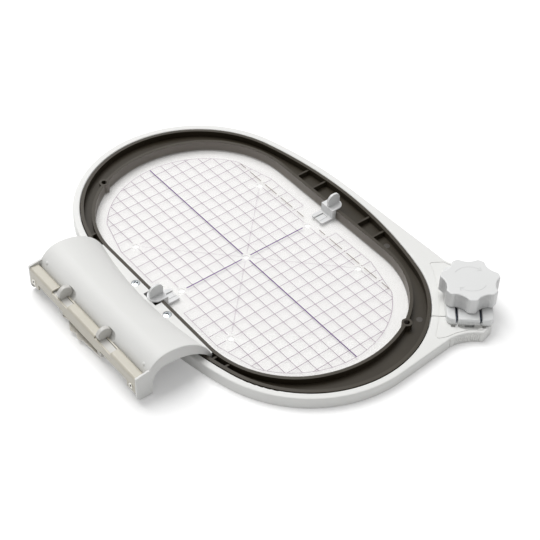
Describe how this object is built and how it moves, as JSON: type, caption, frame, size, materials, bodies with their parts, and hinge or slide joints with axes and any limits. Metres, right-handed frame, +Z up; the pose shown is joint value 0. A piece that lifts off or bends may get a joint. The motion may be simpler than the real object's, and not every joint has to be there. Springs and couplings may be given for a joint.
{
  "type": "machine embroidery hoop",
  "caption": "Oval machine-embroidery hoop: split outer ring with a twist lock, inner ring with an arched coupling arm, and a clear marking template held by clips.",
  "frame": {"origin": "middle hole of the marking template, on its underside (the fabric plane)", "axes": "+X across the hoop away from the coupling arm, +Y along the hoop, +Z up out of the fabric plane"},
  "size_m": [0.2746, 0.3334, 0.0333],
  "materials": {
    "white_ring": "satin",
    "white_lock": "satin",
    "white_knob": "satin",
    "white_arm": "satin",
    "white_clip": "satin",
    "grey_ring": "satin",
    "clear_sheet": "clear, printed",
    "latch_plastic": "satin",
    "coated_sheet": "satin",
    "steel": "satin",
    "dark_steel": "satin"
  },
  "bodies": {
    "outer_ring": {"outer_hoop": "white_ring", "lock_frame": "white_lock", "lock_screws": "steel", "lock_guides": "dark_steel"},
    "tongue": {"lock_tongue": "white_lock", "drive_pin": "steel"},
    "knob": {"knob": "white_knob", "knob_spindle": "steel", "knob_washer": "dark_steel"},
    "inner_ring": {"inner_hoop": "grey_ring", "arm": "white_arm", "arm_screws": "steel", "connector_bracket": "coated_sheet", "rivets": "steel"},
    "latch": {"latch_slide": "latch_plastic", "latch_plate": "coated_sheet", "finger_tab_near": "latch_plastic", "finger_tab_far": "latch_plastic"},
    "template": {"template_plate": "clear_sheet", "clip_arm_side": "white_clip", "clip_free_side": "white_clip"}
  },
  "joints": [
    {"name": "knob_turn", "type": "hinge", "parent": "outer_ring", "child": "knob", "pos_m": [0.0971, -0.1382, 0], "axis": [0, 0, 1], "range_deg": [0, 180]},
    {"name": "tongue_slide", "type": "slide", "parent": "outer_ring", "child": "tongue", "axis": [-0.6494, -0.7604, 0], "range_m": [0, 0.002]},
    {"name": "inner_ring_lift", "type": "slide", "parent": "outer_ring", "child": "inner_ring", "axis": [0, 0, 1], "range_m": [0, 0.03]},
    {"name": "template_lift", "type": "slide", "parent": "inner_ring", "child": "template", "axis": [0, 0, 1], "range_m": [0, 0.03]},
    {"name": "latch_squeeze", "type": "slide", "parent": "inner_ring", "child": "latch", "axis": [0, -1, 0], "range_m": [0, 0.0035], "stiffness_N_per_m": 200}
  ],
  "couplings": [
    {"joint": "tongue_slide", "follows": "knob_turn", "m_per_rad": 0.00063661}
  ]
}
